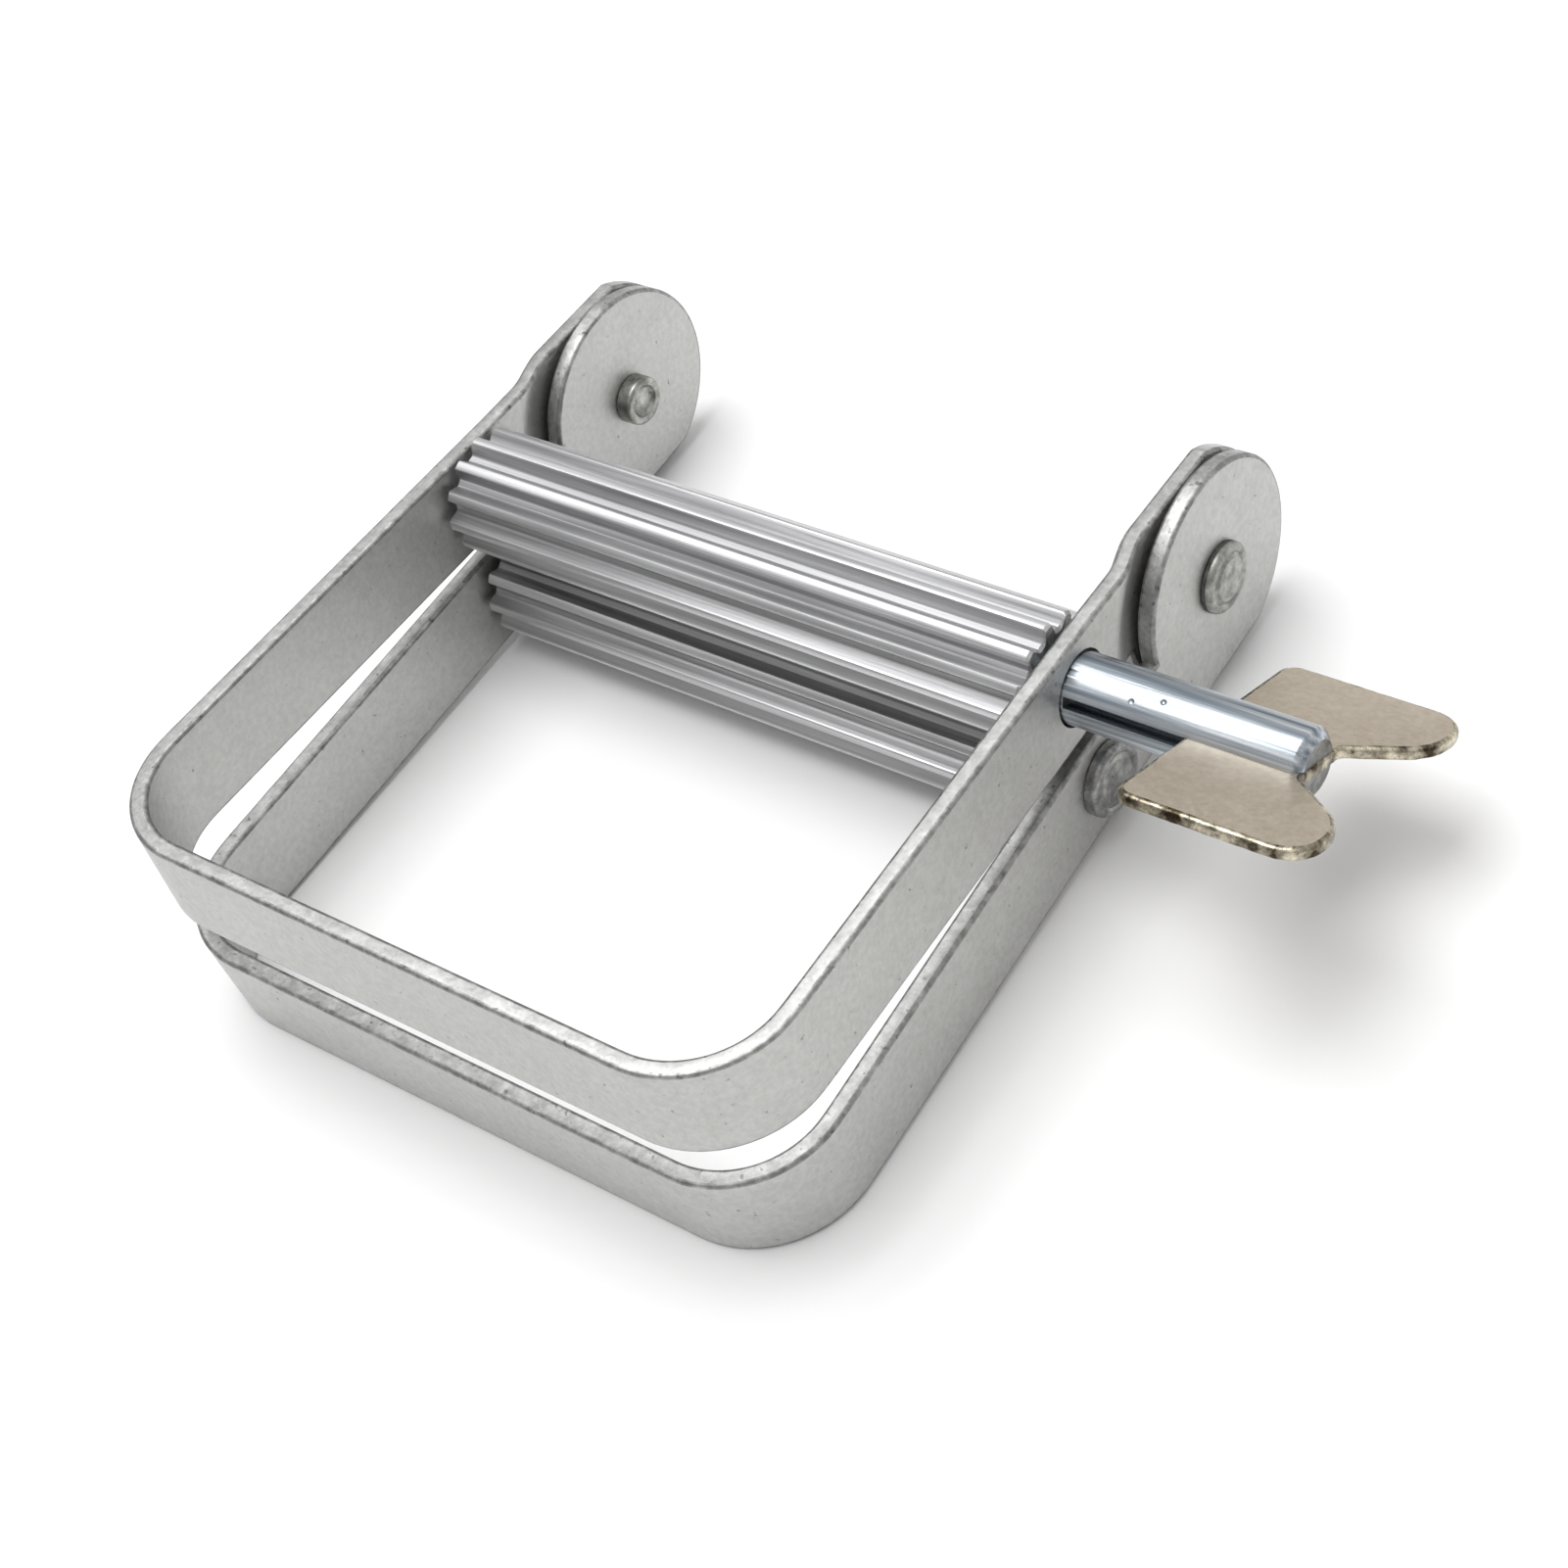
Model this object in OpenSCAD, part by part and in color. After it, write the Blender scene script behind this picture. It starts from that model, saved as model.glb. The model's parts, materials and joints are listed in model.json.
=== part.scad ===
// Hand-held tube squeezer.
// Two U-shaped strip frames are riveted together at the ends of their arms. Each one
// carries a fluted roller, and the two rollers mesh. A winged key turns the upper
// roller by its shaft, and a tube that is pinched between the rollers is wound flat.
//
// +X runs along the rollers, to the key. +Y runs from the closed front of the frames
// to the hinge. +Z is up. The origin is the middle of the lower front edge.

/* [Frames] */
// Width across the arms at the front corners
frame_w = 66; // [60:1:76]
// Length from the hinge axis to the front face
frame_l = 66.5; // [56:0.5:90]
// Height of the strip that the frames are bent from
strip_h = 9.4; // [9:0.2:10]
// Thickness of the strip
strip_t = 1.6; // [1.2:0.1:1.8]
// Outside radius of the two front corners
corner_r = 9.6; // [4:0.2:14]
// Radius of the round ears at the hinge
ear_r = 10.2; // [9:0.1:10.5]
// How far each arm leans in by the time it reaches its ear
toe_in = 0.9; // [0:0.1:1.2]
// Gap between the two ears of a hinge
ear_gap = 0.5; // [0.2:0.1:0.8]

/* [Rollers] */
// Diameter over the ridges
roller_d = 11.2; // [10.8:0.1:11.8]
// Length of each roller
roller_l = 60; // [50:1:60]
// Number of ridges round each roller
ridge_count = 12; // [10:1:12]
// Depth of the flutes
flute_depth = 1.1; // [0.9:0.1:1.3]
// Width of a ridge at its tip
ridge_tip_w = 0.8; // [0.7:0.1:0.9]
// Width of a ridge at its foot
ridge_foot_w = 1.5; // [1.4:0.1:1.6]
// How far the ridges of one roller reach into the other
mesh_depth = 0.5; // [0.4:0.05:0.7]
// How far the key has turned the rollers from a ridge square to a flute, in degrees
roller_turn = 6.5; // [0:0.5:30]
// Distance of the roller axes in front of the hinge axis
roller_y = 18.6; // [17:0.2:22]

/* [Key and shaft] */
// Diameter of the shaft that the key turns
shaft_d = 6; // [5:0.5:6]
// Distance from the middle of the frame to the outer end of the shaft
shaft_reach = 52.8; // [48:0.1:54]
// Distance from the middle of the frame to the key's inner edge
key_x = 43; // [40:0.1:46]
// Width of the key across both wings
key_w = 26.2; // [24:0.2:32]
// Length of the key along the shaft
key_l = 15.8; // [14:0.2:18]
// Thickness of the key and width of the slot that holds it
key_t = 1; // [0.8:0.1:2]
// Tilt of the key, with its rear wing down
key_tilt = 27; // [0:1:90]

/* [Fasteners] */
// Diameter of the hinge rivets
rivet_d = 4; // [3:0.5:5]
// Diameter of the axle that the lower roller turns on
axle_d = 5; // [4:0.5:5]
// Radial clearance of every running fit
clearance = 0.05; // [0.02:0.01:0.1]

/* [Hidden] */
$fn = 96;

// Colours
aluminium = [0.80, 0.80, 0.79];
roller_metal = [0.84, 0.84, 0.85];
rivet_metal = [0.72, 0.72, 0.69];
zinc = [0.78, 0.81, 0.85];
key_metal = [0.72, 0.67, 0.58];

// The hinge axis runs along X through this point
hinge_y = frame_l - strip_t / 2;
hinge_z = strip_h;

// Arms, measured from the hinge axis. Each ear is stepped sideways by half of what puts
// the two ears of a hinge side by side, and the step runs round it as a ring.
ear_step = (strip_t + ear_gap) / 2;
ring_outer_r = ear_r + 4;
ring_inner_r = ear_r + 0.6;
flat_l = ring_outer_r + 0.5;
bend_lead = 1;
bend_end = corner_r - frame_l;
arm_front = -bend_end - bend_lead;
function arm_x(y) = frame_w / 2 - toe_in * (arm_front - max(y, flat_l)) / (arm_front - flat_l);
ear_x = arm_x(0);
axle_arm_x = arm_x(roller_y);

// Roller axes sit on the middle line of each strip. The meshed rollers hold the
// frames apart, so their distance sets the angle of the wedge between the frames.
axis_drop = strip_h / 2;
axis_arm = norm([roller_y, axis_drop]);
axis_distance = roller_d - mesh_depth;
wedge = 2 * asin(axis_distance / 2 / axis_arm) - 2 * atan(axis_drop / roller_y);
ridge_pitch = 360 / ridge_count;
mesh_angle = 90 - wedge / 2;

// Rivet and axle heads
rivet_head_d = rivet_d + 2.2;
rivet_head_h = 1.1;
rivet_tail_d = rivet_d + 0.6;
rivet_tail_h = 1.6;
axle_head_d = axle_d + 1.6;
axle_head_h = 1.4;
head_chamfer = 0.35;
loose_head_gap = 0.1;

// Shaft
shaft_left = axle_arm_x + 0.9;
shaft_chamfer = 0.8;
shaft_left_chamfer = 0.5;
slot_x = axle_arm_x + 0.2;

// Key outline, from its inner edge
key_inner_r = 1.5;
key_tip_r = 3;
key_shoulder_r = 4.5;
notch_corner_r = 0.8;
notch_depth = 5.8;
notch_mouth = 14.4;
notch_floor = 6;

function unit(v) = v / norm(v);

// The arc that rounds the corner at b between a and c
function corner_arc(a, b, c, r, steps = 8) =
    let (
        u = unit(a - b),
        v = unit(c - b),
        half = acos(u * v) / 2,
        centre = b + unit(u + v) * r / sin(half),
        first = b + u * r / tan(half) - centre,
        last = b + v * r / tan(half) - centre,
        start = atan2(first.y, first.x),
        turn = atan2(first.x * last.y - first.y * last.x, first * last)
    )
    [for (i = [0 : steps]) centre + r * [cos(start + turn * i / steps), sin(start + turn * i / steps)]];

// An outline with every corner rounded, from points given as [x, y, radius]
function rounded(points) =
    let (n = len(points), p = [for (q = points) [q.x, q.y]])
    [for (i = [0 : n - 1]) each corner_arc(p[(i + n - 1) % n], p[i], p[(i + 1) % n], points[i].z)];

// Puts children that are drawn round the hinge axis in their place
module at_hinge() {
    translate([0, hinge_y, hinge_z]) children();
}

// Turns the upper frame and what it carries open by the wedge angle
module upper_side() {
    at_hinge() rotate([-wedge, 0, 0]) rotate([0, 180, 0]) children();
}

// Extrudes a YZ outline along X, centred
module along_x(length) {
    rotate([90, 0, 90]) linear_extrude(length, center = true) children();
}

// A cylinder along X, centred
module rod(r, length) {
    rotate([0, 90, 0]) cylinder(r = r, h = length, center = true);
}

// Plan of everything inside the front bend, set in by inset
module front_inside(inset) {
    half = frame_w / 2 - inset;
    r = corner_r - inset;
    for (side = [-1, 1])
        translate([side * (half - r), bend_end]) circle(r = r);
    translate([r - half, inset - frame_l]) square([2 * (half - r), corner_r]);
    translate([-half, bend_end]) square([2 * half, corner_r]);
}

// Plan of the front wall, its two round corners and a short straight run after each
module front_plan() {
    intersection() {
        difference() {
            front_inside(0);
            front_inside(strip_t);
        }
        translate([-frame_w / 2, -frame_l]) square([frame_w, corner_r + bend_lead]);
    }
}

// Plan of one arm, which leans in up to the flat end that carries its ear
module arm_plan(side) {
    middle = strip_t / 2;
    path = [
        [side * (frame_w / 2 - middle), bend_end],
        [side * (frame_w / 2 - middle), bend_end + bend_lead],
        [side * (ear_x - middle), -flat_l],
        [side * (ear_x - middle), -ring_outer_r]
    ];
    polygon(concat(
        [for (p = path) p + [middle, 0]],
        [for (i = [len(path) - 1 : -1 : 0]) path[i] - [middle, 0]]
    ));
}

// Side view of the flat end of an arm and its ear, flush with the strip's outer edge
module ear_side() {
    translate([-flat_l, -strip_h]) square([flat_l, strip_h]);
    intersection() {
        circle(r = ear_r);
        translate([-ear_r, -strip_h]) square([2 * ear_r, strip_h + ear_r]);
    }
}

// A disc about the hinge axis: the ear's plane, the ring that steps it and the arm's plane
module stepped_disc(side) {
    arm = side * (ear_x - strip_t / 2) - strip_t / 2;
    ear = arm + ear_step;
    reach = flat_l + strip_h;
    rotate([90, 0, 90]) rotate_extrude() polygon([
        [0, ear], [ring_inner_r, ear], [ring_outer_r, arm], [reach, arm],
        [reach, arm + strip_t], [ring_outer_r, arm + strip_t],
        [ring_inner_r, ear + strip_t], [0, ear + strip_t]
    ]);
}

// Both frames are this pressing. Drawn round the hinge axis, strip below it.
module strip_frame(rivet_hole_r, axle_hole_r) {
    difference() {
        union() {
            translate([0, 0, -strip_h]) linear_extrude(strip_h) {
                front_plan();
                for (side = [-1, 1]) arm_plan(side);
            }
            for (side = [-1, 1]) intersection() {
                stepped_disc(side);
                along_x(frame_w + 2 * strip_t) ear_side();
            }
        }
        rod(rivet_hole_r, 2 * frame_w);
        translate([0, -roller_y, -axis_drop]) rod(axle_hole_r, 2 * frame_w);
    }
}

// Outline of a fluted roller, with one ridge at the angle given
module flutes(first_ridge) {
    tip_r = roller_d / 2;
    foot_r = tip_r - flute_depth;
    tip_half = asin(ridge_tip_w / 2 / tip_r);
    foot_half = asin(ridge_foot_w / 2 / foot_r);
    ridge = [[foot_r, -foot_half], [tip_r, -tip_half], [tip_r, tip_half], [foot_r, foot_half]];
    polygon([
        for (i = [0 : ridge_count - 1], corner = ridge)
            let (a = first_ridge + i * ridge_pitch + corner[1]) corner[0] * [cos(a), sin(a)]
    ]);
}

module roller(first_ridge, bore_r) {
    difference() {
        along_x(roller_l) flutes(first_ridge);
        rod(bore_r, 2 * roller_l);
    }
}

// A pin along X from left to right, with a head on each end
module headed_pin(left, right, shank_r, left_head_r, left_head_h, right_head_r, right_head_h) {
    c = head_chamfer;
    rotate([90, 0, 90]) rotate_extrude() polygon([
        [0, left - left_head_h], [left_head_r - c, left - left_head_h],
        [left_head_r, left - left_head_h + c], [left_head_r, left], [shank_r, left],
        [shank_r, right], [right_head_r, right], [right_head_r, right + right_head_h - c],
        [right_head_r - c, right + right_head_h], [0, right + right_head_h]
    ]);
}

module lower_frame() {
    color(aluminium) at_hinge() strip_frame(rivet_d / 2, axle_d / 2);
}

module upper_frame() {
    color(aluminium) upper_side() strip_frame(rivet_d / 2 + clearance, shaft_d / 2 + clearance);
}

// The rivets are tight in the lower frame. The upper frame turns on them.
module left_hinge_rivet() {
    color(rivet_metal) at_hinge() headed_pin(
        -ear_x - ear_step - loose_head_gap, -ear_x + ear_step + strip_t,
        rivet_d / 2, rivet_head_d / 2, rivet_head_h, rivet_tail_d / 2, rivet_tail_h);
}

module right_hinge_rivet() {
    color(rivet_metal) at_hinge() headed_pin(
        ear_x - ear_step - strip_t - loose_head_gap, ear_x + ear_step,
        rivet_d / 2, rivet_tail_d / 2, rivet_tail_h, rivet_head_d / 2, rivet_head_h);
}

// Before the key is turned the lower roller has a flute on the line of centres, and the
// upper one a ridge
module idler_roller() {
    color(roller_metal) at_hinge() translate([0, -roller_y, -axis_drop])
        roller(mesh_angle + ridge_pitch / 2 + roller_turn, axle_d / 2 + clearance);
}

module idler_axle() {
    color(rivet_metal) at_hinge() translate([0, -roller_y, -axis_drop]) headed_pin(
        -axle_arm_x, axle_arm_x, axle_d / 2,
        axle_head_d / 2, axle_head_h, axle_head_d / 2, axle_head_h);
}

// Puts children that are drawn round the shaft's axis in their place
module at_shaft() {
    at_hinge() rotate([-wedge, 0, 0]) translate([0, -roller_y, axis_drop]) rotate([wedge, 0, 0]) children();
}

module drive_roller() {
    color(roller_metal) at_shaft() roller(mesh_angle + 180 - roller_turn, shaft_d / 2);
}

module key_shaft() {
    r = shaft_d / 2;
    a = shaft_left_chamfer;
    b = shaft_chamfer;
    color(zinc) at_shaft() difference() {
        rotate([90, 0, 90]) rotate_extrude() polygon([
            [0, -shaft_left], [r - a, -shaft_left], [r, a - shaft_left],
            [r, shaft_reach - b], [r - b, shaft_reach], [0, shaft_reach]
        ]);
        rotate([-key_tilt, 0, 0]) translate([slot_x, -shaft_d, -key_t / 2])
            cube([shaft_reach, 2 * shaft_d, key_t]);
    }
}

module wing_key() {
    half = key_w / 2;
    outline = rounded([
        [0, -half, key_inner_r], [key_l, -half, key_tip_r],
        [key_l, -notch_mouth / 2, key_shoulder_r], [key_l - notch_depth, -notch_floor / 2, notch_corner_r],
        [key_l - notch_depth, notch_floor / 2, notch_corner_r], [key_l, notch_mouth / 2, key_shoulder_r],
        [key_l, half, key_tip_r], [0, half, key_inner_r]
    ]);
    color(key_metal) at_shaft() rotate([-key_tilt, 0, 0]) translate([key_x, 0, -key_t / 2])
        linear_extrude(key_t) polygon(outline);
}

lower_frame();
upper_frame();
left_hinge_rivet();
right_hinge_rivet();
drive_roller();
key_shaft();
wing_key();
idler_roller();
idler_axle();
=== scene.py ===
"""Looks of a hand-held tube squeezer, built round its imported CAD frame.

Two riveted strip frames, two meshing fluted rollers and a winged key. Lengths are in
metres. MM turns millimetres into metres.
"""

import json
import math

import bmesh
import bpy
import numpy as np
from mathutils import Matrix, Vector


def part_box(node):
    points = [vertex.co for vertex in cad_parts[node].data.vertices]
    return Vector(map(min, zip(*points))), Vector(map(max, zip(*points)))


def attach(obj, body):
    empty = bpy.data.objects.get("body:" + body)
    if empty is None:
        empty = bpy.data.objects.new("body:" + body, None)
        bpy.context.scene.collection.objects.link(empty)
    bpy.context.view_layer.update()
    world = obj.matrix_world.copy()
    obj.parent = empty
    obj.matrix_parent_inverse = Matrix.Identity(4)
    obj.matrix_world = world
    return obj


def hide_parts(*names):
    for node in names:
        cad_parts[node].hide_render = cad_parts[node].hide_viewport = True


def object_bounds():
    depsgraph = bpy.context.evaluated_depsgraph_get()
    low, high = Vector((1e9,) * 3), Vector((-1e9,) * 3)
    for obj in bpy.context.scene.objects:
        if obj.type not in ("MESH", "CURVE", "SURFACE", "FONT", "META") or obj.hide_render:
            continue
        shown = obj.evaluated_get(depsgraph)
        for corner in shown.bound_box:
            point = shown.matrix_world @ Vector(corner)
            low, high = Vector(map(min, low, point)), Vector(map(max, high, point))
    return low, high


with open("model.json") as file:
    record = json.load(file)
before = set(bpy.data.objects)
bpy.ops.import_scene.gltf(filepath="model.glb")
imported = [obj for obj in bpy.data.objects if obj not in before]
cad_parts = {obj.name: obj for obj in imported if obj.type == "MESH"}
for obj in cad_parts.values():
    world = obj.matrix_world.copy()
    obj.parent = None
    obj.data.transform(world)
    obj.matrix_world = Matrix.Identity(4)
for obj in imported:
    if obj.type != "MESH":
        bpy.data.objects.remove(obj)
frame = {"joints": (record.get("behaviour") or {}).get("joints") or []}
cad_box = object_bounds()
MM = 0.001

# ---------------------------------------------------------------- places from the CAD
JOINTS = {j["name"]: Vector(j["pos_m"]) for j in frame["joints"]}
HINGE = JOINTS["frame_hinge"]
DRIVE_AXIS = JOINTS["key_spin"]
IDLER_AXIS = JOINTS["idler_spin"]


def pitch_of(axis_point):
    """Angle of a roller axis seen from the hinge, above or below the strip's plane."""
    return math.atan2(abs(axis_point.z - HINGE.z), HINGE.y - axis_point.y)


# The meshed rollers hold the upper frame open by this angle.
WEDGE = pitch_of(DRIVE_AXIS) - pitch_of(IDLER_AXIS)
AT_HINGE = Matrix.Translation(HINGE)
UPPER_SIDE = AT_HINGE @ Matrix.Rotation(-WEDGE, 4, "X") @ Matrix.Rotation(math.pi, 4, "Y")

# Strip frames. The two ears of a hinge are stepped apart by a ring round the hinge.
STRIP_T = 1.6 * MM
STRIP_H = HINGE.z
EAR_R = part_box("lower_frame")[1].y - HINGE.y
FRAME_L = HINGE.y + STRIP_T / 2
FRAME_W = 66 * MM
CORNER_R = 9.6 * MM
TOE_IN = 0.9 * MM
EAR_STEP = 1.05 * MM
RING_INNER_R = EAR_R + 0.6 * MM
RING_OUTER_R = EAR_R + 4 * MM
FLAT_L = RING_OUTER_R + 0.5 * MM
BEND_END = CORNER_R - FRAME_L
LEAD = BEND_END + 1 * MM
EAR_X = FRAME_W / 2 - TOE_IN
EDGE_R = 0.34 * MM
RING_SLICE = 0.35 * MM
HEIGHT_SLICES = 12

# Rollers
RIDGES = 12
PITCH = 2 * math.pi / RIDGES
ROLLER_R = 5.6 * MM
FLUTE = 1.1 * MM
RIDGE_TIP = 0.8 * MM
RIDGE_FOOT = 1.5 * MM
MESH_ANGLE = math.pi / 2 - WEDGE / 2
ROLLER_TURN = math.radians(6.5)
FLUTE_CORNER = 0.16 * MM
ROLLER_CHAMFER = 0.25 * MM
RUNNING_GAP = 0.05 * MM

# Shaft. Each stake mark is a dent at a place along X and an angle round the shaft.
SHAFT_R = 3 * MM
SHAFT_CHAMFER = 0.8 * MM
SHAFT_LEFT_CHAMFER = 0.5 * MM
SHAFT_GAP = 0.25 * MM
SLOT_X = EAR_X + 0.3 * MM
STAKE_MARKS = ((38.1 * MM, math.radians(118)), (40.6 * MM, math.radians(104)))
STAKE_R = 0.34 * MM
STAKE_LIFT = 0.2 * MM
SLOT_EDGE_R = 0.06 * MM

# Key. The notch in its outer edge runs from its mouth to a narrower floor.
KEY_TILT = math.radians(27)
KEY_T = 1.0 * MM
KEY_W = 26.2 * MM
KEY_L = 15.8 * MM
KEY_INNER_R = 1.5 * MM
KEY_TIP_R = 3.0 * MM
KEY_SHOULDER_R = 4.5 * MM
NOTCH_MOUTH = 14.4 * MM
NOTCH_FLOOR = 6.0 * MM
NOTCH_DEPTH = 5.8 * MM
NOTCH_R = 0.8 * MM
KEY_ROLL_R = 0.34 * MM
KEY_BURR = 0.1 * MM
KEY_POINT_GAP = 0.22 * MM

# Axle and rivets
AXLE_R = 2.5 * MM
AXLE_HEAD_H = 1.4 * MM
RIVET_R = 2 * MM
LOOSE_HEAD_GAP = 0.1 * MM
HEAD_TO_TAIL_R = 0.8 * MM
HEAD_FOOT = 0.12 * MM
HEAD_RIM_R = 0.55 * MM
TAIL_RIM_R = 0.4 * MM
TAIL_LIP = 0.75 * MM
# The feet of the heads get dirt and painted shade up to these heights
RIVET_SHADE_AND_DIRT_H = 0.45 * MM
AXLE_SHADE_AND_DIRT_H = 0.4 * MM


# ------------------------------------------------------------------------- mesh tools
# As many slots as any piece uses, so that booleans keep each face's slot
MATERIAL_SLOTS = 3
# Points closer than this are one point
SAME_PLACE = 1e-7


def new_object(name, bm, materials, sharp=math.radians(35)):
    """A smooth shaded object from a bmesh, with sharp edges marked by their angle."""
    mesh = bpy.data.meshes.new(name)
    bmesh.ops.recalc_face_normals(bm, faces=bm.faces)
    for face in bm.faces:
        face.smooth = True
    for edge in bm.edges:
        edge.smooth = len(edge.link_faces) == 2 and edge.calc_face_angle() < sharp
    bm.to_mesh(mesh)
    bm.free()
    for material in materials:
        mesh.materials.append(material)
    piece = bpy.data.objects.new(name, mesh)
    bpy.context.scene.collection.objects.link(piece)
    return piece


def extruded(points, low, high):
    """A closed solid: an outline of (y, z) points extruded along X, from low to high."""
    bm = bmesh.new()
    ends = [[bm.verts.new((x, y, z)) for y, z in points] for x in (low, high)]
    for ring in ends:
        bm.faces.new(ring)
    count = len(points)
    for i in range(count):
        j = (i + 1) % count
        bm.faces.new((ends[0][i], ends[0][j], ends[1][j], ends[1][i]))
    bmesh.ops.recalc_face_normals(bm, faces=bm.faces)
    return bm


def temporary(bm):
    """An unnamed object for one boolean."""
    mesh = bpy.data.meshes.new("temporary")
    bm.to_mesh(mesh)
    bm.free()
    for _ in range(MATERIAL_SLOTS):
        mesh.materials.append(None)
    piece = bpy.data.objects.new("temporary", mesh)
    bpy.context.scene.collection.objects.link(piece)
    return piece


def cut(base, cutters):
    """Cuts solids out of a solid with exact booleans. All of them are bmeshes."""
    body = temporary(base)
    tools = [temporary(cutter) for cutter in cutters]
    for tool in tools:
        modifier = body.modifiers.new("cut", "BOOLEAN")
        modifier.operation = "DIFFERENCE"
        modifier.solver = "EXACT"
        modifier.object = tool
    depsgraph = bpy.context.evaluated_depsgraph_get()
    made = bmesh.new()
    made.from_mesh(body.evaluated_get(depsgraph).to_mesh())
    for piece in [body, *tools]:
        mesh = piece.data
        bpy.data.objects.remove(piece)
        bpy.data.meshes.remove(mesh)
    bmesh.ops.remove_doubles(made, verts=made.verts, dist=SAME_PLACE)
    return made


def rod(radius, low, high, y, z, steps=64):
    """A plain cylinder along X, used as a cutter."""
    angles = [2 * math.pi * i / steps for i in range(steps)]
    ring = [(y + radius * math.cos(a), z + radius * math.sin(a)) for a in angles]
    return extruded(ring, low, high)


def lathe(profile, steps):
    """A solid turned about X, from a profile of (x, radius) points that ends on the axis."""
    bm = bmesh.new()
    rings = []
    for x, r in profile:
        if r == 0:
            rings.append([bm.verts.new((x, 0, 0))])
            continue
        angles = [2 * math.pi * i / steps for i in range(steps)]
        rings.append([bm.verts.new((x, r * math.cos(a), r * math.sin(a))) for a in angles])
    for first, second in zip(rings, rings[1:]):
        for i in range(steps):
            j = (i + 1) % steps
            corners = [(first, i), (first, j), (second, j), (second, i)]
            unique = list(dict.fromkeys(ring[k % len(ring)] for ring, k in corners))
            if len(unique) > 2:
                bm.faces.new(unique)
    return bm


def arc(centre, radius, start, end, steps):
    """Points on an arc, with angles in degrees."""
    x, y = centre
    angles = [math.radians(start + (end - start) * i / steps) for i in range(steps + 1)]
    return [(x + radius * math.cos(a), y + radius * math.sin(a)) for a in angles]


def bevel_sharp(bm, width, segments, angle):
    """Rounds every edge sharper than the angle."""
    edges = [e for e in bm.edges if len(e.link_faces) == 2 and e.calc_face_angle() > angle]
    bmesh.ops.bevel(
        bm, geom=edges, offset=width, offset_type="OFFSET", segments=segments, profile=0.5,
        affect="EDGES", clamp_overlap=True, material=-1,
    )


# --------------------------------------------------------------------------- materials
def add(tree, kind, **values):
    """A new shader node with the given properties."""
    node = tree.nodes.new(kind)
    for key, value in values.items():
        setattr(node, key, value)
    return node


def stretched_noise(tree, scale, stretch, detail, roughness):
    """Noise on the object's own coordinates. Scale is in waves a metre."""
    coords = add(tree, "ShaderNodeTexCoord")
    mapping = add(tree, "ShaderNodeMapping")
    mapping.inputs["Scale"].default_value = stretch
    noise = add(tree, "ShaderNodeTexNoise")
    noise.inputs["Scale"].default_value = scale
    noise.inputs["Detail"].default_value = detail
    noise.inputs["Roughness"].default_value = roughness
    tree.links.new(coords.outputs["Object"], mapping.inputs["Vector"])
    tree.links.new(mapping.outputs["Vector"], noise.inputs["Vector"])
    return noise.outputs["Fac"]


def ramp(tree, source, stops):
    """A colour ramp of (position, colour) stops."""
    node = add(tree, "ShaderNodeValToRGB")
    elements = node.color_ramp.elements
    while len(elements) < len(stops):
        elements.new(0.5)
    for element, (position, colour) in zip(elements, stops):
        element.position = position
        element.color = (*colour, 1.0)
    tree.links.new(source, node.inputs["Fac"])
    return node.outputs["Color"]


def spread(tree, source, low, high, start=0.3, end=0.7):
    """Maps start..end of a 0..1 value onto low..high."""
    node = add(tree, "ShaderNodeMapRange")
    for name, value in (("From Min", start), ("From Max", end), ("To Min", low), ("To Max", high)):
        node.inputs[name].default_value = value
    tree.links.new(source, node.inputs["Value"])
    return node.outputs["Result"]


def bump(tree, source, height, strength=1.0, below=None):
    """The shading normal of a height pattern, laid over another one when there is one."""
    node = add(tree, "ShaderNodeBump")
    node.inputs["Strength"].default_value = strength
    node.inputs["Distance"].default_value = height
    tree.links.new(source, node.inputs["Height"])
    if below is not None:
        tree.links.new(below, node.inputs["Normal"])
    return node.outputs["Normal"]


def shaded(name):
    """A new material with its node tree and its shader."""
    material = bpy.data.materials.new(name)
    material.use_nodes = True
    return material, material.node_tree, material.node_tree.nodes["Principled BSDF"]


def multiplied(tree, first, second):
    """The product of two colours."""
    node = add(tree, "ShaderNodeMix", data_type="RGBA", blend_type="MULTIPLY")
    node.inputs["Factor"].default_value = 1.0
    tree.links.new(first, node.inputs["A"])
    tree.links.new(second, node.inputs["B"])
    return node.outputs["Result"]


# Waves a metre of the patterns that every metal shares
GRAIN_WAVES = 2600
MOTTLE_WAVES = 1700
PIT_WAVES = 1500
EVEN = (1, 1, 1)
ALONG_X = (0.02, 1, 1)


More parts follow.
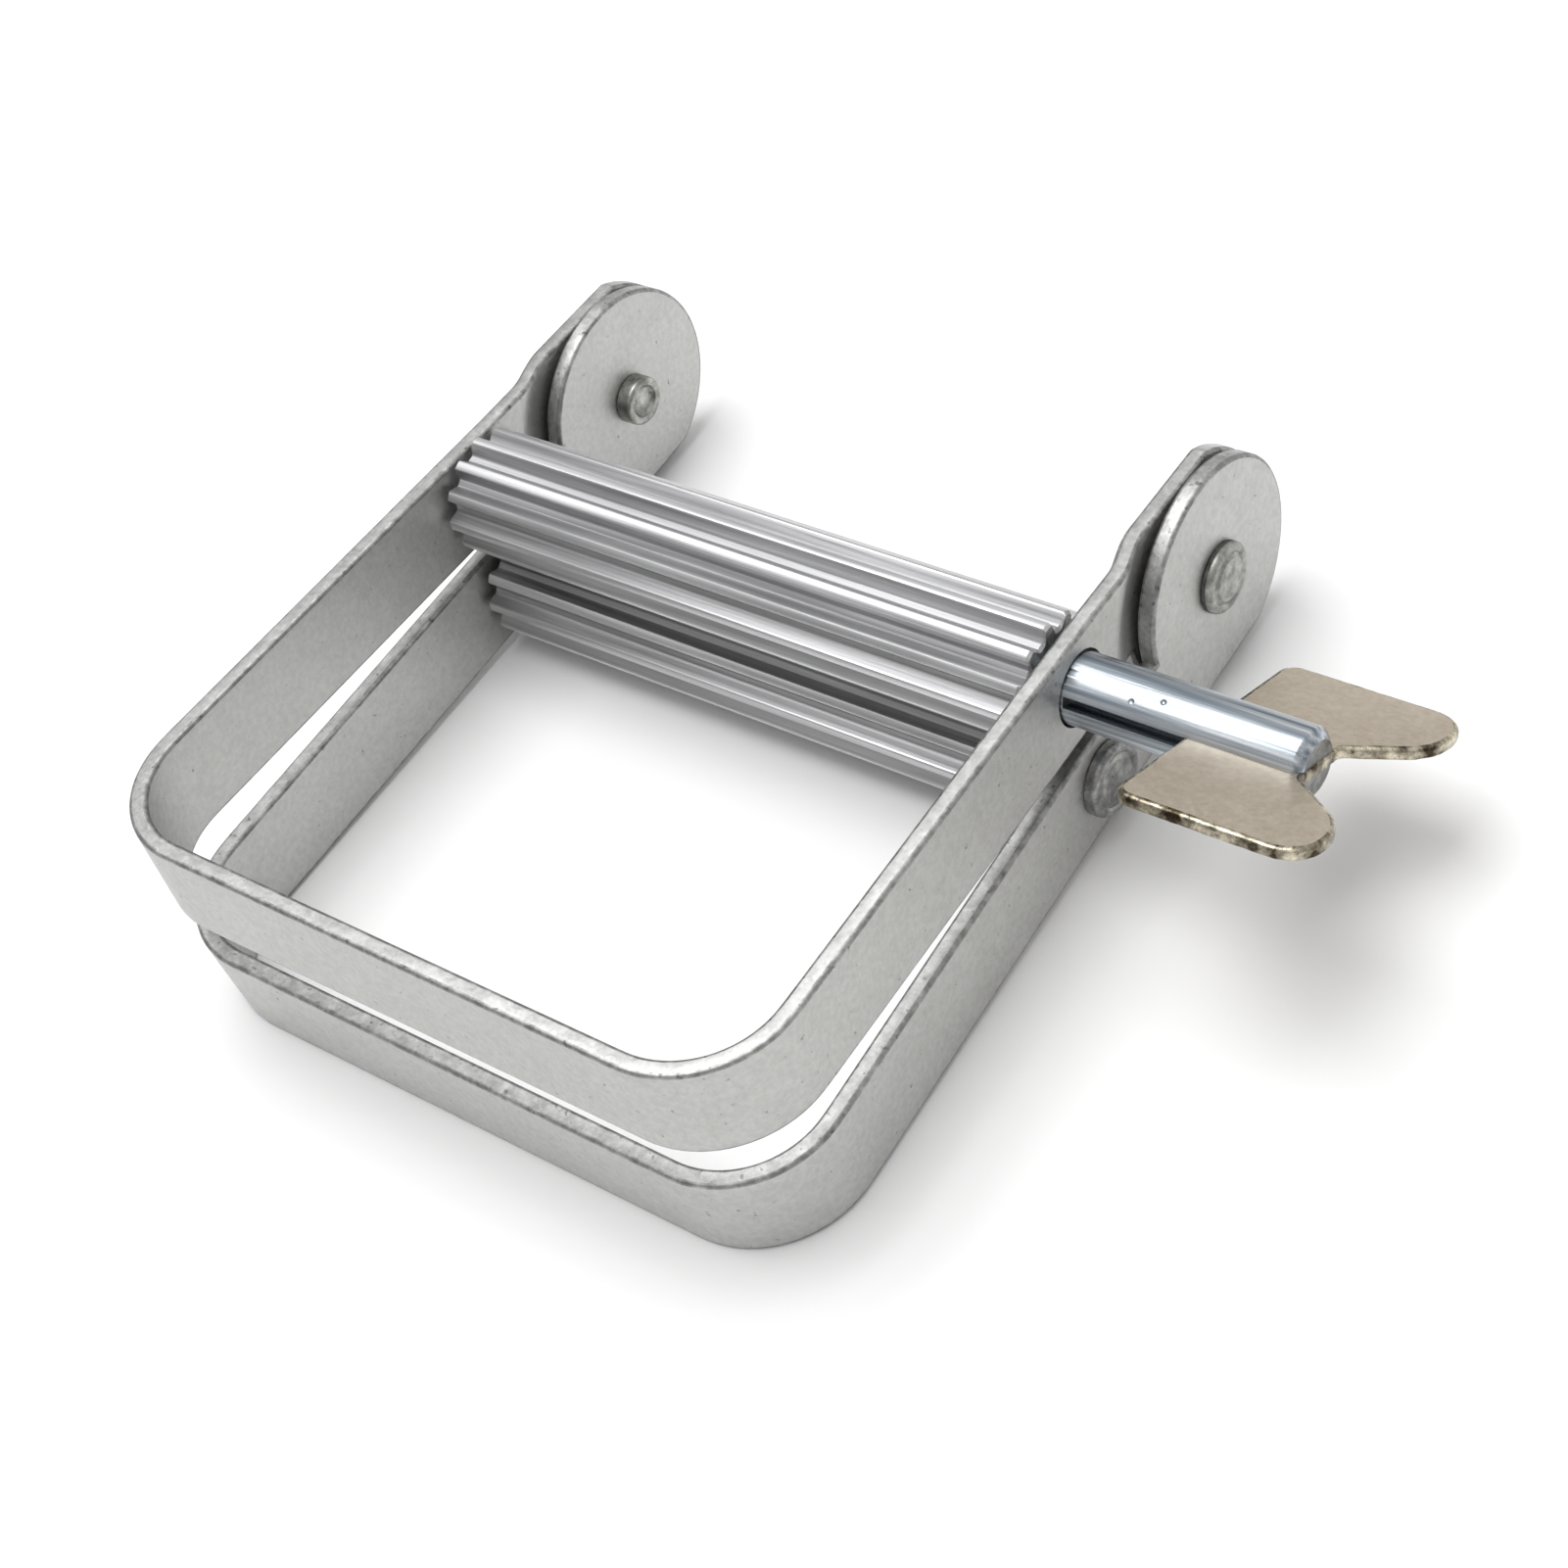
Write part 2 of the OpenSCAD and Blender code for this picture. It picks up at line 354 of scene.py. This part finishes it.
def worn_metal(name, dark, light, rough, grain_height, blotch, mottle, pits, streak=EVEN):
    """Metal with blotches between two tones, a mottled grain and small dark pits.

    The blotch size and the grain height are in millimetres. A larger pits value gives
    more pits. Streak stretches every pattern along the axis that has a small number.
    """
    material, tree, shader = shaded(name)
    shader.inputs["Metallic"].default_value = 1.0
    patches = stretched_noise(tree, 1 / (blotch * MM), streak, 3, 0.55)
    grain = stretched_noise(tree, GRAIN_WAVES, streak, 5, 0.7)
    mottling = stretched_noise(tree, MOTTLE_WAVES, streak, 3, 0.6)
    specks = stretched_noise(tree, PIT_WAVES, streak, 2, 0.5)
    grey = 1 - mottle
    base = ramp(tree, patches, [(0.35, dark), (0.65, light)])
    fine = ramp(tree, grain, [(0.34, (grey, grey, grey)), (0.66, (1, 1, 1))])
    soft = ramp(tree, mottling, [(0.36, (grey, grey, grey)), (0.64, (1, 1, 1))])
    dots = ramp(tree, specks, [(pits - 0.08, (0.5, 0.5, 0.49)), (pits, (1, 1, 1))])
    colour = multiplied(tree, multiplied(tree, base, fine), multiplied(tree, soft, dots))
    tree.links.new(colour, shader.inputs["Base Color"])
    tree.links.new(spread(tree, grain, *rough), shader.inputs["Roughness"])
    coarse = bump(tree, mottling, grain_height * MM, 0.5)
    tree.links.new(bump(tree, grain, grain_height * MM, 1.0, coarse), shader.inputs["Normal"])
    return material


# Two tones, lowest and highest roughness, grain height, blotch size, mottle, pits
MATERIALS = {
    "face": worn_metal(
        "tumbled_aluminium", (0.58, 0.58, 0.565), (0.605, 0.605, 0.59), (0.42, 0.58),
        0.018, 4.0, 0.11, 0.3,
    ),
    "rim": worn_metal(
        "rolled_rim", (0.52, 0.52, 0.51), (0.66, 0.66, 0.65), (0.3, 0.44), 0.012, 2.0, 0.14, 0.28
    ),
    "sheared_rim": worn_metal(
        "sheared_rim", (0.46, 0.46, 0.45), (0.62, 0.62, 0.61), (0.4, 0.56), 0.03, 1.6, 0.2, 0.36
    ),
    # Rounded edges between faces and rim, coloured dark as painted shade
    "corner": worn_metal(
        "edge_rounding_painted_shade", (0.3, 0.3, 0.29), (0.52, 0.52, 0.51), (0.4, 0.55), 0.02, 1.2, 0.24, 0.36
    ),
    # Flutes coloured darker as painted shade, ridge tops lighter as a painted highlight; the ridge
    # tops are also smoother
    "flute": worn_metal(
        "drawn_flute_painted_shade", (0.44, 0.44, 0.45), (0.66, 0.66, 0.67), (0.42, 0.56),
        0.02, 1.0, 0.22, 0.3, ALONG_X,
    ),
    "ridge": worn_metal(
        "polished_ridge_painted_highlight", (0.62, 0.62, 0.63), (0.82, 0.82, 0.83), (0.36, 0.48),
        0.018, 1.0, 0.18, 0.3, ALONG_X,
    ),
    "rivet": worn_metal(
        "pressed_rivet", (0.28, 0.28, 0.26), (0.56, 0.56, 0.53), (0.3, 0.44), 0.03, 1.2, 0.2, 0.34
    ),
    # Axle heads coloured darker as painted shade, for the shade under the key
    "axle": worn_metal(
        "riveted_end_painted_shade", (0.24, 0.24, 0.24), (0.5, 0.5, 0.49), (0.28, 0.42), 0.02, 1.5, 0.25, 0.34
    ),
    # Feet of the pin heads: dirt, and painted shade where each head meets the metal
    "seat_dirt_and_shade": worn_metal(
        "seat_dirt_and_painted_shade", (0.1, 0.1, 0.09), (0.24, 0.24, 0.22), (0.45, 0.6), 0.02, 1.0, 0.2, 0.36
    ),
    "shaft": worn_metal(
        "bright_zinc", (0.28, 0.33, 0.38), (0.8, 0.84, 0.88), (0.24, 0.4),
        0.03, 0.6, 0.24, 0.3, ALONG_X,
    ),
    # Flat shaft ends and the slot's floor, coloured near black as painted shade
    "end_face_painted_shade": worn_metal(
        "shaft_end_painted_shade", (0.18, 0.18, 0.17), (0.36, 0.36, 0.35), (0.32, 0.46), 0.02, 1.2, 0.16, 0.32
    ),
    "key": worn_metal(
        "satin_nickel", (0.6, 0.52, 0.42), (0.64, 0.565, 0.46), (0.42, 0.54), 0.012, 2.0, 0.11, 0.28
    ),
    # Key edge from near black to pale brass: a painted reflection over the brass of worn plating
    "key_edge_painted_reflection": worn_metal(
        "worn_edge_painted_reflection", (0.07, 0.05, 0.03), (0.86, 0.78, 0.6), (0.14, 0.32), 0.04, 1.6, 0.3, 0.4
    ),
}


# ------------------------------------------------------------------------- strip frames
def smooth_share(t):
    """0 below 0, 1 above 1, and a smooth rise between."""
    t = min(1.0, max(0.0, t))
    return t * t * (3 - 2 * t)


def strip_path():
    """Plan of the bent strip's middle line, from ear tip to ear tip."""
    half, inner = FRAME_W / 2, STRIP_T / 2
    middle_r = CORNER_R - inner
    end = [(EAR_X - inner, EAR_R), (EAR_X - inner, -FLAT_L), (half - inner, LEAD)]
    front = arc((CORNER_R - half, BEND_END), middle_r, 180, 270, 20)
    front += arc((half - CORNER_R, BEND_END), middle_r, 270, 360, 20)
    return np.array([(-x, y) for x, y in end] + front + end[::-1])


def stations(path):
    """The distance of each path point from the start of the path."""
    steps = np.linalg.norm(np.diff(path, axis=0), axis=1)
    return np.concatenate([[0.0], np.cumsum(steps)])


def inward(outline):
    """Mitred inward directions at the corners of a counter-clockwise outline."""
    edge = np.roll(outline, -1, axis=0) - outline
    edge /= np.linalg.norm(edge, axis=1)[:, None]
    after = np.column_stack([-edge[:, 1], edge[:, 0]])
    before = np.roll(after, 1, axis=0)
    return (before + after) / (1 + (before * after).sum(axis=1))[:, None]


def flat_blank(length):
    """The strip before it is bent: x along it, y up it, z through it, with rounded edges.

    Slot 0 is for the two faces, slot 1 for the rim and slot 2 for the rounding, which is painted in
    shade.
    """
    foot = math.degrees(math.asin(STRIP_H / EAR_R))
    left = [(EAR_R - y, z) for y, z in arc((0, 0), EAR_R, 180, -foot, 90)]
    outline = np.array(left + [(length - s, z) for s, z in left[::-1]])
    inset = inward(outline)
    angles = [math.radians(a) for a in (90, 60, 30, 0)]
    skin = EDGE_R - STRIP_T / 2
    layers = [(skin - EDGE_R * math.sin(a), EDGE_R * (1 - math.cos(a))) for a in angles]
    layers += [(-depth, back) for depth, back in layers[::-1]]
    bm = bmesh.new()
    loops = []
    for depth, back in layers:
        loops.append([bm.verts.new((s, z, depth)) for s, z in outline + inset * back])
    middle = len(angles) - 1
    for k, (low, high) in enumerate(zip(loops, loops[1:])):
        for i in range(len(outline)):
            j = (i + 1) % len(outline)
            face = bm.faces.new((low[i], low[j], high[j], high[i]))
            # The rounding layers take slot 2, the painted shade along the edges
            face.material_index = 1 if k == middle else 2
    bm.faces.new(loops[0][::-1])
    bm.faces.new(loops[-1])
    return bm


def sliced(bm, axis, places):
    """Cuts a mesh across an axis at each place, so that it can bend there."""
    normal = Vector((0, 0, 0))
    normal[axis] = 1
    for place in places:
        geometry = bm.verts[:] + bm.edges[:] + bm.faces[:]
        bmesh.ops.bisect_plane(
            bm, geom=geometry, dist=SAME_PLACE, plane_co=normal * place, plane_no=normal
        )


def bend(bm, path, along):
    """Lays the flat blank along the path and steps both ears sideways, inside a smooth ring."""
    step = np.diff(path, axis=0)
    step /= np.linalg.norm(step, axis=1)[:, None]
    mean = np.vstack([step[:1], step[:-1] + step[1:], step[-1:]])
    mean /= np.linalg.norm(mean, axis=1)[:, None]
    for vert in bm.verts:
        s, z, depth = vert.co
        x, y, forward, sideways = [np.interp(s, along, line) for line in (*path.T, *mean.T)]
        from_hinge = math.hypot(min(s, along[-1] - s) - EAR_R, z)
        share = smooth_share((from_hinge - RING_INNER_R) / (RING_OUTER_R - RING_INNER_R))
        vert.co = (x - sideways * depth + EAR_STEP * (1 - share), y + forward * depth, z)


def strip_frame(name, place, hole_r, rim):
    """A frame: a flat blank with round ears, bent to a U, with holes for its roller's pin."""
    path = strip_path()
    along = stations(path)
    bm = flat_blank(along[-1])
    ring = np.arange(EAR_R + 3 * MM, EAR_R + FLAT_L, RING_SLICE)
    sliced(bm, 0, [*along[1:-1], *ring, *(along[-1] - ring)])
    sliced(bm, 1, np.linspace(-STRIP_H, 0, HEIGHT_SLICES + 1)[1:-1])
    bend(bm, path, along)
    axle_y, axle_z = IDLER_AXIS.y - HINGE.y, IDLER_AXIS.z - HINGE.z
    bm = cut(bm, [rod(hole_r, -FRAME_W, FRAME_W, axle_y, axle_z)])
    bm.transform(place)
    piece = new_object(name, bm, [MATERIALS[m] for m in ("face", rim, "corner")], math.radians(50))
    piece.modifiers.new("flat_faces", "WEIGHTED_NORMAL").keep_sharp = True
    return piece


# ------------------------------------------------------------------------------ rollers
def flute_ring(first):
    """One turn of the fluted outline as (radius, angle) pairs, with softened corners."""
    foot_r = ROLLER_R - FLUTE
    tip_half = math.asin(RIDGE_TIP / 2 / ROLLER_R)
    foot_half = math.asin(RIDGE_FOOT / 2 / foot_r)
    shoulder_r = ROLLER_R - 0.3 * FLUTE_CORNER
    # One side of a ridge, from the flute to the ridge's middle line
    side = [(foot_r, foot_half + FLUTE_CORNER / foot_r)]
    for t in (0.85, 0.5, 0.15):
        side.append((ROLLER_R - FLUTE * t, tip_half + (foot_half - tip_half) * t))
    side += [(shoulder_r, tip_half), (ROLLER_R, tip_half * 0.7)]
    ring = []
    for i in range(RIDGES):
        a = first + i * PITCH
        ring.append((foot_r, a - PITCH / 2))
        ring += [(r, a - half) for r, half in side]
        ring.append((ROLLER_R, a))
        ring += [(r, a + half) for r, half in side[::-1]]
    return ring


def roller(name, axis, first, half_length, bore_r):
    """A fluted roller: the outline drawn along X, with small chamfers at both ends.

    Slot 0 is for the flutes, coloured as painted shade, and slot 1 for the ridge tops, coloured as
    a painted highlight.
    """
    ring = flute_ring(first)
    bm = bmesh.new()

    def loop(x, radii):
        return [
            bm.verts.new((x, r * math.cos(a), r * math.sin(a))) for r, (_, a) in zip(radii, ring)
        ]

    full = [r for r, _ in ring]
    chamfered = [r - ROLLER_CHAMFER for r in full]
    bore = [bore_r] * len(ring)
    inner = half_length - ROLLER_CHAMFER
    loops = [loop(-half_length, chamfered), loop(-inner, full)]
    loops += [loop(inner, full), loop(half_length, chamfered)]
    bores = [loop(-half_length, bore), loop(half_length, bore)]
    chain = [bores[0], *loops, bores[1], bores[0]]
    for near, far in zip(chain, chain[1:]):
        for i in range(len(ring)):
            j = (i + 1) % len(ring)
            face = bm.faces.new((near[i], near[j], far[j], far[i]))
            # Ridge tops take the painted highlight, flutes and flanks the painted shade
            on_ridge = min(full[i], full[j]) > ROLLER_R - 0.3 * FLUTE
            face.material_index = 1 if on_ridge else 0
    bm.transform(Matrix.Translation(axis))
    return new_object(name, bm, [MATERIALS["flute"], MATERIALS["ridge"]], math.radians(30))


# ----------------------------------------------------------------- pins, shaft and key
def turned(name, axis, profile, materials):
    """A pin turned about a line along X, from a profile of (x, radius) points."""
    bm = lathe(profile, 72)
    bm.transform(Matrix.Translation(axis))
    return new_object(name, bm, materials, math.radians(32))


def rounded_rim(x, direction, radius, height, r, steps=5):
    """The side of a round head and its rounded rim, from its seat outwards."""
    points = [(x, radius - HEAD_FOOT), (x + direction * HEAD_FOOT, radius)]
    for i in range(steps + 1):
        t = math.pi / 2 * i / steps
        reach = height - r + r * math.sin(t)
        points.append((x + direction * reach, radius - r + r * math.cos(t)))
    return points


def rolled_tail(x, direction, radius, height):
    """The set end of a rivet: a rolled rim round a dished middle."""
    lip, smallest, middle_depth = radius - TAIL_LIP, 0.1 * MM, 0.28 * MM
    points = rounded_rim(x, direction, radius, height, TAIL_RIM_R)
    # The dish in millimetres: inset from the lip, and depth below the rim
    for inset, depth in ((0.0, 0.1), (0.12, 0.3), (0.3, 0.42), (0.8, 0.36), (1.3, 0.3)):
        points.append((x + direction * (height - depth * MM), max(lip - inset * MM, smallest)))
    return points + [(x + direction * (height - middle_depth), 0.0)]


def pressed_head(x, direction, radius, height):
    """A flat rivet head: a rounded shoulder, a pressed ring and a flat middle."""
    shoulder_drop = 0.12 * MM
    points = rounded_rim(x, direction, radius, height - shoulder_drop, HEAD_RIM_R)
    # The ring: share of the head's radius, and lift in millimetres from the middle
    for r, lift in ((0.78, -0.12), (0.72, -0.26), (0.66, -0.2), (0.6, -0.03), (0.4, 0.0)):
        points.append((x + direction * (height + lift * MM), radius * r))
    return points + [(x + direction * height, 0.0)]


def darken_seats(piece, seats, height):
    """Gives the foot of each head the second material: gathered dirt, and painted shade where the
    head meets the metal below.
    """
    for face in piece.data.polygons:
        from_seat = min(abs(face.center.x - seat) for seat in seats)
        if from_seat < height and abs(face.normal.x) < 0.9:
            face.material_index = 1


def replace(piece, node, body):
    """Makes a piece ride on a body in place of a CAD node."""
    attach(piece, body)
    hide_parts(node)


def build_rivets():
    """The hinge rivets: heads on the outer ears, set ends on the inner ears."""
    rivet = [MATERIALS["rivet"], MATERIALS["seat_dirt_and_shade"]]
    ear_out, ear_in = EAR_X + EAR_STEP, EAR_X - EAR_STEP - STRIP_T
    for node, side in (("left_hinge_rivet", -1), ("right_hinge_rivet", 1)):
        low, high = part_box(node)
        far, near = (low.x, high.x) if side < 0 else (high.x, low.x)
        head_r = (high.z - low.z) / 2
        seat = side * (ear_out + (LOOSE_HEAD_GAP if side < 0 else 0))
        tail_seat = side * (ear_in - (LOOSE_HEAD_GAP if side > 0 else 0))
        head = pressed_head(seat, side, head_r, abs(far - seat))
        tail = rolled_tail(tail_seat, -side, head_r - HEAD_TO_TAIL_R, abs(near - tail_seat))
        profile = head[::-1] + [(seat, RIVET_R), (tail_seat, RIVET_R)] + tail
        piece = turned(node.replace("hinge_", ""), HINGE, profile, rivet)
        darken_seats(piece, (seat, tail_seat), RIVET_SHADE_AND_DIRT_H)
        replace(piece, node, "lower")


def build_axle():
    """The idler's axle, with a formed head outside each arm."""
    low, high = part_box("idler_axle")
    seat = high.x - AXLE_HEAD_H
    head_r = (high.z - low.z) / 2
    left = pressed_head(-seat, -1, head_r, -low.x - seat)
    right = pressed_head(seat, 1, head_r, high.x - seat)
    profile = left[::-1] + [(-seat, AXLE_R), (seat, AXLE_R)] + right
    # The heads take painted shade, their feet dirt and painted shade
    piece = turned("riveted_axle", IDLER_AXIS, profile, [MATERIALS["axle"], MATERIALS["seat_dirt_and_shade"]])
    darken_seats(piece, (-seat, seat), AXLE_SHADE_AND_DIRT_H)
    replace(piece, "idler_axle", "lower")


def shaft_profile(left, right):
    """The shaft's (x, radius) points, with softened chamfers at both ends."""
    c, e = SHAFT_LEFT_CHAMFER, SHAFT_CHAMFER
    return [
        (left, 0.0), (left, SHAFT_R - c), (left + 0.3 * c, SHAFT_R - 0.7 * c),
        (left + c, SHAFT_R), (right - e, SHAFT_R), (right - 0.75 * e, SHAFT_R - 0.12 * e),
        (right - 0.12 * e, SHAFT_R - 0.8 * e), (right, SHAFT_R - e), (right, 0.0),
    ]


def build_shaft():
    """The shaft is split by a slot that holds the key, and dented where it is staked."""
    low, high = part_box("key_shaft")
    wide, thick = SHAFT_R + 1 * MM, KEY_T / 2
    slot = extruded(
        [(-wide, -thick), (wide, -thick), (wide, thick), (-wide, thick)], SLOT_X, high.x + 1 * MM
    )
    slot.transform(Matrix.Rotation(-KEY_TILT, 4, "X"))
    cutters = [slot]
    reach = SHAFT_R + STAKE_LIFT
    for x, a in STAKE_MARKS:
        dent = bmesh.new()
        bmesh.ops.create_icosphere(dent, subdivisions=3, radius=STAKE_R)
        dent.transform(Matrix.Translation((x, reach * math.cos(a), reach * math.sin(a))))
        cutters.append(dent)
    bm = cut(lathe(shaft_profile(low.x, high.x), 96), cutters)
    # Flat ends and the slot's floor take the painted shade
    bm.normal_update()
    for face in bm.faces:
        face.material_index = 1 if abs(face.normal.x) > 0.9 else 0
    bevel_sharp(bm, SLOT_EDGE_R, 2, math.radians(60))
    bm.transform(Matrix.Translation(DRIVE_AXIS))
    metals = [MATERIALS["shaft"], MATERIALS["end_face_painted_shade"]]
    piece = new_object("slotted_shaft", bm, metals, math.radians(28))
    replace(piece, "key_shaft", "drive")


def rounded_outline(points, steps=10):
    """An outline with every corner rounded, from (x, y, radius) points."""
    outline = []
    count = len(points)
    for i, (x, y, r) in enumerate(points):
        b = np.array((x, y))
        u = np.array(points[i - 1][:2]) - b
        v = np.array(points[(i + 1) % count][:2]) - b
        u, v = u / np.linalg.norm(u), v / np.linalg.norm(v)
        half = math.acos(max(-1.0, min(1.0, float(u @ v)))) / 2
        centre = b + (u + v) / np.linalg.norm(u + v) * r / math.sin(half)
        first = b + u * r / math.tan(half) - centre
        last = b + v * r / math.tan(half) - centre
        turn = math.atan2(first[0] * last[1] - first[1] * last[0], float(first @ last))
        for k in range(steps + 1):
            c, s = math.cos(turn * k / steps), math.sin(turn * k / steps)
            turned_by = np.array(((c, -s), (s, c)))
            outline.append(centre + turned_by @ first)
    return np.array(outline)


def resampled(outline, spacing):
    """The same closed outline with evenly spaced points."""
    closed = np.vstack([outline, outline[:1]])
    length = stations(closed)
    at = np.linspace(0, length[-1], int(length[-1] / spacing), endpoint=False)
    return np.column_stack([np.interp(at, length, closed[:, k]) for k in (0, 1)])


def key_outline():
    """Two wings with a V notch between them in the outer edge."""
    half = KEY_W / 2
    upper = [
        (0.0, half, KEY_INNER_R), (KEY_L, half, KEY_TIP_R),
        (KEY_L, NOTCH_MOUTH / 2, KEY_SHOULDER_R), (KEY_L - NOTCH_DEPTH, NOTCH_FLOOR / 2, NOTCH_R),
    ]
    lower = [(x, -y, r) for x, y, r in upper[::-1]]
    return resampled(rounded_outline(upper + lower), KEY_POINT_GAP)


def smoothed_noise(count, rows):
    """Rows of random numbers along a closed outline, each a mean over its neighbours."""
    noise = np.random.default_rng(7).normal(size=(rows, count))
    window = np.ones(5) / 5
    return [np.convolve(np.tile(n, 3), window, "same")[count:2 * count] for n in noise]


def build_key():
    """A blanked plate: rolled over along its upper edge, torn and uneven below it."""
    outline = key_outline()
    inset_way = -inward(outline)  # the outline runs clockwise
    top = KEY_T / 2
    # Height, inset and unevenness of each layer, from the lower face upwards
    layers = [
        (-top, KEY_BURR, 0.075 * MM), (KEY_BURR - top, 0.0, 0.0675 * MM),
        (-0.15 * KEY_T, 0.0, 0.03 * MM),
    ]
    ragged = smoothed_noise(len(outline), len(layers))
    for degrees in (0.0, 22.5, 45.0, 67.5, 90.0):
        a = math.radians(degrees)
        rise, inset = KEY_ROLL_R * math.sin(a), KEY_ROLL_R * (1 - math.cos(a))
        layers.append((top - KEY_ROLL_R + rise, 1.25 * inset, 0.0))
    bm = bmesh.new()
    loops = []
    for k, (z, inset, rough) in enumerate(layers):
        shift = inset + rough * np.abs(ragged[k % len(ragged)])
        points = outline + inset_way * shift[:, None]
        loops.append([bm.verts.new((x, y, z)) for x, y in points])
    count = len(outline)
    # Every edge face takes the painted reflection
    for low, high in zip(loops, loops[1:]):
        for i in range(count):
            j = (i + 1) % count
            bm.faces.new((low[i], low[j], high[j], high[i])).material_index = 1
    bm.faces.new(loops[0][::-1])
    bm.faces.new(loops[-1])
    place = Matrix.Translation((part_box("wing_key")[0].x, DRIVE_AXIS.y, DRIVE_AXIS.z))
    bm.transform(place @ Matrix.Rotation(-KEY_TILT, 4, "X"))
    metals = [MATERIALS["key"], MATERIALS["key_edge_painted_reflection"]]
    piece = new_object("winged_plate", bm, metals, math.radians(40))
    replace(piece, "wing_key", "drive")


def build_frames():
    """Both frames. The upper one is the same pressing, turned over and opened by the wedge."""
    lower = strip_frame("lower_strip_frame", AT_HINGE, AXLE_R, "sheared_rim")
    replace(lower, "lower_frame", "lower")
    upper = strip_frame("upper_strip_frame", UPPER_SIDE, SHAFT_R + SHAFT_GAP, "rim")
    replace(upper, "upper_frame", "upper")


def build_rollers():
    """Both rollers, turned so that a ridge of one stands in a flute of the other."""
    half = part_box("drive_roller")[1].x
    drive_first = MESH_ANGLE + math.pi - ROLLER_TURN
    idler_first = MESH_ANGLE + PITCH / 2 + ROLLER_TURN
    drive = roller("drive_flutes", DRIVE_AXIS, drive_first, half, SHAFT_R)
    replace(drive, "drive_roller", "drive")
    idler = roller("idler_flutes", IDLER_AXIS, idler_first, half, AXLE_R + RUNNING_GAP)
    replace(idler, "idler_roller", "idler")


# --------------------------------------------------------------- floor, light and camera
FLOOR_SIZE = 3.0
FLOOR_GREY = 0.86

# World light square to the bright side, and straight towards it
WORLD_LIGHT = (0.38, 0.93)
BRIGHT_SIDE = (0.15, 0.25, 1.0)
SOFTBOX_SIDE = (-0.22, 0.05, 1.0)
SOFTBOX_DISTANCE = 0.8
SOFTBOX_SIZE = 0.55
SOFTBOX_POWER = 5.0

CAMERA_AZIMUTH = math.radians(53.3)
CAMERA_ELEVATION = math.radians(48.3)
CAMERA_ROLL = math.radians(-24.1)
CAMERA_DISTANCE = 232 * MM
CAMERA_AIM = Vector((12.6, 32.1, 12.0)) * MM
CAMERA_LENS = 66.8


def build_stage():
    """A plain pale floor that touches the front edge and the lower roller."""
    front_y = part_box("lower_frame")[0].y
    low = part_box("idler_roller")[0].z
    tilt = math.atan2(low, IDLER_AXIS.y - front_y)
    bm = bmesh.new()
    bmesh.ops.create_grid(bm, x_segments=2, y_segments=2, size=FLOOR_SIZE)
    bm.transform(Matrix.Translation((0, front_y, 0)) @ Matrix.Rotation(tilt, 4, "X"))
    material, _, shader = shaded("pale_floor")
    shader.inputs["Base Color"].default_value = (FLOOR_GREY, FLOOR_GREY, FLOOR_GREY, 1)
    shader.inputs["Roughness"].default_value = 0.9
    shader.inputs["Specular IOR Level"].default_value = 0.0
    new_object("floor", bm, [material])


def build_softbox():
    """A wide square light overhead, turned towards the middle of the object."""
    data = bpy.data.lights.new("overhead_softbox", "AREA")
    data.shape = "SQUARE"
    data.size = SOFTBOX_SIZE
    data.energy = SOFTBOX_POWER
    lamp = bpy.data.objects.new("overhead_softbox", data)
    away = Vector(SOFTBOX_SIDE).normalized()
    lamp.location = (cad_box[0] + cad_box[1]) / 2 + away * SOFTBOX_DISTANCE
    lamp.rotation_mode = "QUATERNION"
    lamp.rotation_quaternion = away.to_track_quat("Z", "Y")
    bpy.context.scene.collection.objects.link(lamp)


def build_room():
    """A plain room that brightens towards one side."""
    world = bpy.data.worlds.new("studio")
    world.use_nodes = True
    background = world.node_tree.nodes["Background"]
    background.inputs["Color"].default_value = (1, 1, 1, 1)
    coords = add(world.node_tree, "ShaderNodeTexCoord")
    towards = add(world.node_tree, "ShaderNodeVectorMath", operation="DOT_PRODUCT")
    towards.inputs[1].default_value = Vector(BRIGHT_SIDE).normalized()
    world.node_tree.links.new(coords.outputs["Generated"], towards.inputs[0])
    strength = spread(world.node_tree, towards.outputs["Value"], *WORLD_LIGHT, 0.0, 1.0)
    world.node_tree.links.new(strength, background.inputs["Strength"])
    bpy.context.scene.world = world
    bpy.context.scene.view_settings.view_transform = "Standard"


def build_camera():
    """The photo's view, with the camera rolled to one side."""
    ca, sa = math.cos(CAMERA_AZIMUTH), math.sin(CAMERA_AZIMUTH)
    ce, se = math.cos(CAMERA_ELEVATION), math.sin(CAMERA_ELEVATION)
    forward = Vector((-sa * ce, ca * ce, -se))
    level = forward.cross(Vector((0, 0, 1))).normalized()
    upright = level.cross(forward)
    right = level * math.cos(CAMERA_ROLL) + upright * math.sin(CAMERA_ROLL)
    up = right.cross(forward)
    data = bpy.data.cameras.new("camera")
    data.lens = CAMERA_LENS
    data.sensor_width = 36.0
    data.clip_start = 0.01
    camera = bpy.data.objects.new("camera", data)
    turn = Matrix((right, up, -forward)).transposed().to_4x4()
    camera.matrix_world = Matrix.Translation(CAMERA_AIM - forward * CAMERA_DISTANCE) @ turn
    bpy.context.scene.collection.objects.link(camera)
    bpy.context.scene.camera = camera


build_frames()
build_rollers()
build_rivets()
build_axle()
build_shaft()
build_key()
build_stage()
build_room()
build_softbox()
build_camera()
